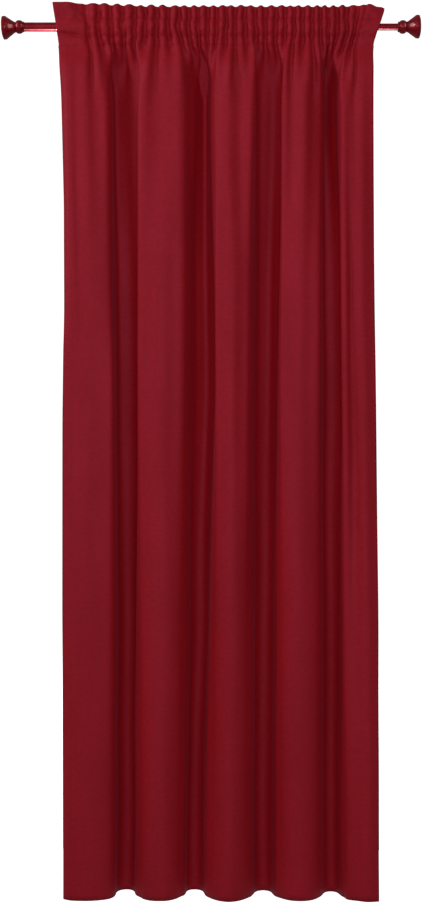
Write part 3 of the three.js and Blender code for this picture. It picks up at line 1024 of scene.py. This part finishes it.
# %% Stitches
def stitch_row(name, line, out, body, proud, pitch=3.2 * MM, length=2.5 * MM, radius=0.28 * MM):
    """A row of stitches along a line of points on the cloth, raised by proud along its normals."""
    line, out = np.array(line), np.array(out)
    run = np.concatenate([[0], np.cumsum(np.linalg.norm(np.diff(line, axis=0), axis=1))])
    places = (np.arange(int(run[-1] / pitch) - 1) + 1) * pitch

    def along(values, where):
        return np.array([np.interp(where, run, values[:, k]) for k in range(3)]).T

    centres, normals = along(line, places), along(out, places)
    tangents = along(line, places + 0.4 * pitch) - along(line, places - 0.4 * pitch)
    work = bmesh.new()
    for centre, normal, tangent in zip(centres, normals, tangents):
        tangent = Vector(tangent).normalized()
        side = tangent.cross(Vector(normal)).normalized()
        lift = side.cross(tangent)
        turn = Matrix((tangent * length / 2, side * radius, lift * radius)).transposed().to_4x4()
        turn.translation = Vector(centre) + lift * proud
        bmesh.ops.create_icosphere(work, subdivisions=1, radius=1.0, matrix=turn)
    bmesh.ops.recalc_face_normals(work, faces=work.faces)
    print(name, len(places), "stitches")
    return finish_piece(name, work, thread, body)


stitched = []
proud_of_pile, proud_of_tape = 0.5 * MM, 0.38 * MM
for label, seam in zip(("upper", "lower", "tape_foot"), seams):
    row = rows_to(seam)
    stitched.append(stitch_row(f"seam_{label}_front", front[row], front_normal[row],
                               "panel", proud_of_pile))
    stitched.append(stitch_row(f"seam_{label}_back", tape_surface[row], -tape_normal[row],
                               "panel", proud_of_tape))
stitched.append(stitch_row("seam_foot_hem", front[hem_row], front_normal[hem_row],
                           "panel", proud_of_pile))
hem_column = side_columns - 1
print("side hems are", round(float(across[hem_column]) / MM, 1), "mm wide")
left_seam = stitch_row("seam_side_left", left_strip[hem_column], left_strip_normal[hem_column],
                       "panel", proud_of_pile)
right_seam = stitch_row("seam_side_right", right_strip[hem_column], right_strip_normal[hem_column],
                        "leading_edge", proud_of_pile)

# %% [markdown]
# The room is left out. The panel hangs in the middle of a plain pale bowl, wide enough to walk
# round the panel in: a round floor that curves up into a wall, so that no horizon shows.

# %% Floor and sweep
def make_sweep():
    work = bmesh.new()
    floor_level = foot_edge - 0.06
    reach, wall_top, curve_radius, middle = 9.0, 9.0, 2.0, 0.48
    flat_reach, curve_level = reach - curve_radius, floor_level + curve_radius
    outline = [(0.0, floor_level), (flat_reach, floor_level)]
    outline += arc((flat_reach, curve_level), (curve_radius, curve_radius), -80, 0, 8)
    outline.append((reach, wall_top))
    line = [work.verts.new((middle + out, 0.0, z)) for out, z in outline]
    for pair in zip(line, line[1:]):
        work.edges.new(pair)
    bmesh.ops.spin(work, geom=work.verts[:] + work.edges[:], cent=(middle, 0, 0), axis=(0, 0, 1),
                   angle=math.tau, steps=64, use_merge=True, use_duplicate=False)
    bmesh.ops.remove_doubles(work, verts=work.verts, dist=1e-6)
    bmesh.ops.recalc_face_normals(work, faces=work.faces)
    data = bpy.data.meshes.new("sweep")
    work.to_mesh(data)
    work.free()
    for polygon in data.polygons:
        polygon.use_smooth = True
    recipe = Recipe("pale_paper")
    recipe.set(Roughness=0.95, Specular_IOR_Level=0.0, Base_Color=grey(0.92),
               Emission_Color=grey(1), Emission_Strength=0.85)
    data.materials.append(recipe.material)
    sweep = bpy.data.objects.new("sweep", data)
    bpy.context.collection.objects.link(sweep)
    sweep.visible_glossy = False
    sweep.visible_diffuse = False
    print("the floor lies", round(foot_edge - floor_level, 3), "m below the foot")


make_sweep()

# %% [markdown]
# The light is soft and comes from the upper left in front, near the heading, so the panel is
# brightest at the top and its folds are lit on their left flanks. A broad fill in front keeps the
# right flanks from going black, one above opens the frill, and one behind lights the back.

# %% Soft light
def area_light(name, place, towards, size, power):
    data = bpy.data.lights.new(name, "AREA")
    data.shape = "RECTANGLE"
    data.size, data.size_y = size
    data.energy = power
    light = bpy.data.objects.new(name, data)
    light.location = place
    light.rotation_euler = (Vector(towards) - Vector(place)).to_track_quat("-Z", "Y").to_euler()
    bpy.context.collection.objects.link(light)
    return light


area_light("key", (-2.3, -1.2, 0.6), (0.45, 0, -0.6), (0.4, 0.8), 23)
top_fill = area_light("top_fill", (0.0, -2.5, 1.0), (0.5, 0, -0.3), (1.6, 1.6), 7)
area_light("front_fill", (0.45, -4.3, -0.5), (0.48, 0, -1.2), (1.2, 1.2), 32)
print("soft lights", [light.name for light in bpy.data.lights])

# %% [markdown]
# Lacquer only shows its gloss when it has something bright to mirror, so each end of the rod has
# three strips of its own, as a studio would set them: one low for the white line under the
# tube, one in front, and one at the side for the trumpet's flank. They are linked to the lacquered
# pieces alone, so the velvet isn't touched by them.

# %% Strips for the lacquer
def flagged(word):
    """A collection of the lacquered pieces with this word in their names."""
    chosen = bpy.data.collections.new(f"lit_{word}")
    for piece in bpy.data.objects:
        if word in piece.name and lacquer.name in piece.material_slots:
            chosen.objects.link(piece)
    return chosen


tubes, finials = flagged("tube"), flagged("finial")
for side, below_tube, end, inwards in (("left", -0.15, -0.07, 1.0), ("right", 1.13, 1.03, -1.0)):
    front_x, side_x = 0.48 - 0.97 * inwards, end + 2.58 * inwards
    strips = [
        ("floor", (below_tube, 0.06, -1.2), (below_tube, 0, 0), (0.13, 0.12), 100, tubes),
        ("front", (front_x, -3.9, 0.2), (end, 0, 0), (0.3, 3.0), 90, tubes),
        ("side", (side_x, -1.4, 0.65), (end, 0, 0), (0.9, 2.2), 60, finials),
    ]
    for label, place, towards, size, power, pieces in strips:
        strip = area_light(f"{label}_strip_{side}", place, towards, size, power)
        strip.visible_diffuse = False
        strip.visible_camera = False
        strip.light_linking.receiver_collection = pieces

# %% [markdown]
# The light behind is there for the back views. The even light of the room comes from the world,
# and colours are shown plainly, with no film look over them.

# %% Light behind, and the room's own light
back_fill = area_light("back_fill", (0.48, 4.5, 0.3), (0.48, 0, -1.2), (2.0, 2.0), 90)
for light in (top_fill, back_fill):
    light.visible_glossy = False

world = bpy.data.worlds.new("studio")
world.use_nodes = True
background = world.node_tree.nodes["Background"]
background.inputs["Color"].default_value = grey(1)
background.inputs["Strength"].default_value = 0.26
bpy.context.scene.world = world
bpy.context.scene.view_settings.view_transform = "Standard"
print("lights", sorted(light.name for light in bpy.data.lights))

# %% [markdown]
# The panel can be drawn aside: its leading edge slides towards the left, and the cloth between
# gathers towards the left edge. The pieces that gather, and the leading hem with its seam, each
# get a mesh of their own.

# %% What gathers when the panel is drawn
cords = [bpy.data.objects[f"draw_cord_{label}_braided"] for label in ("upper", "middle", "lower")]
gathering = [panel, heading_turning, foot_hem, tape, tape_loops, left_hem, left_seam, *stitched, *cords]
for piece in gathering:
    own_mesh(piece)
for piece in (right_hem, right_seam):
    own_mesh(piece)
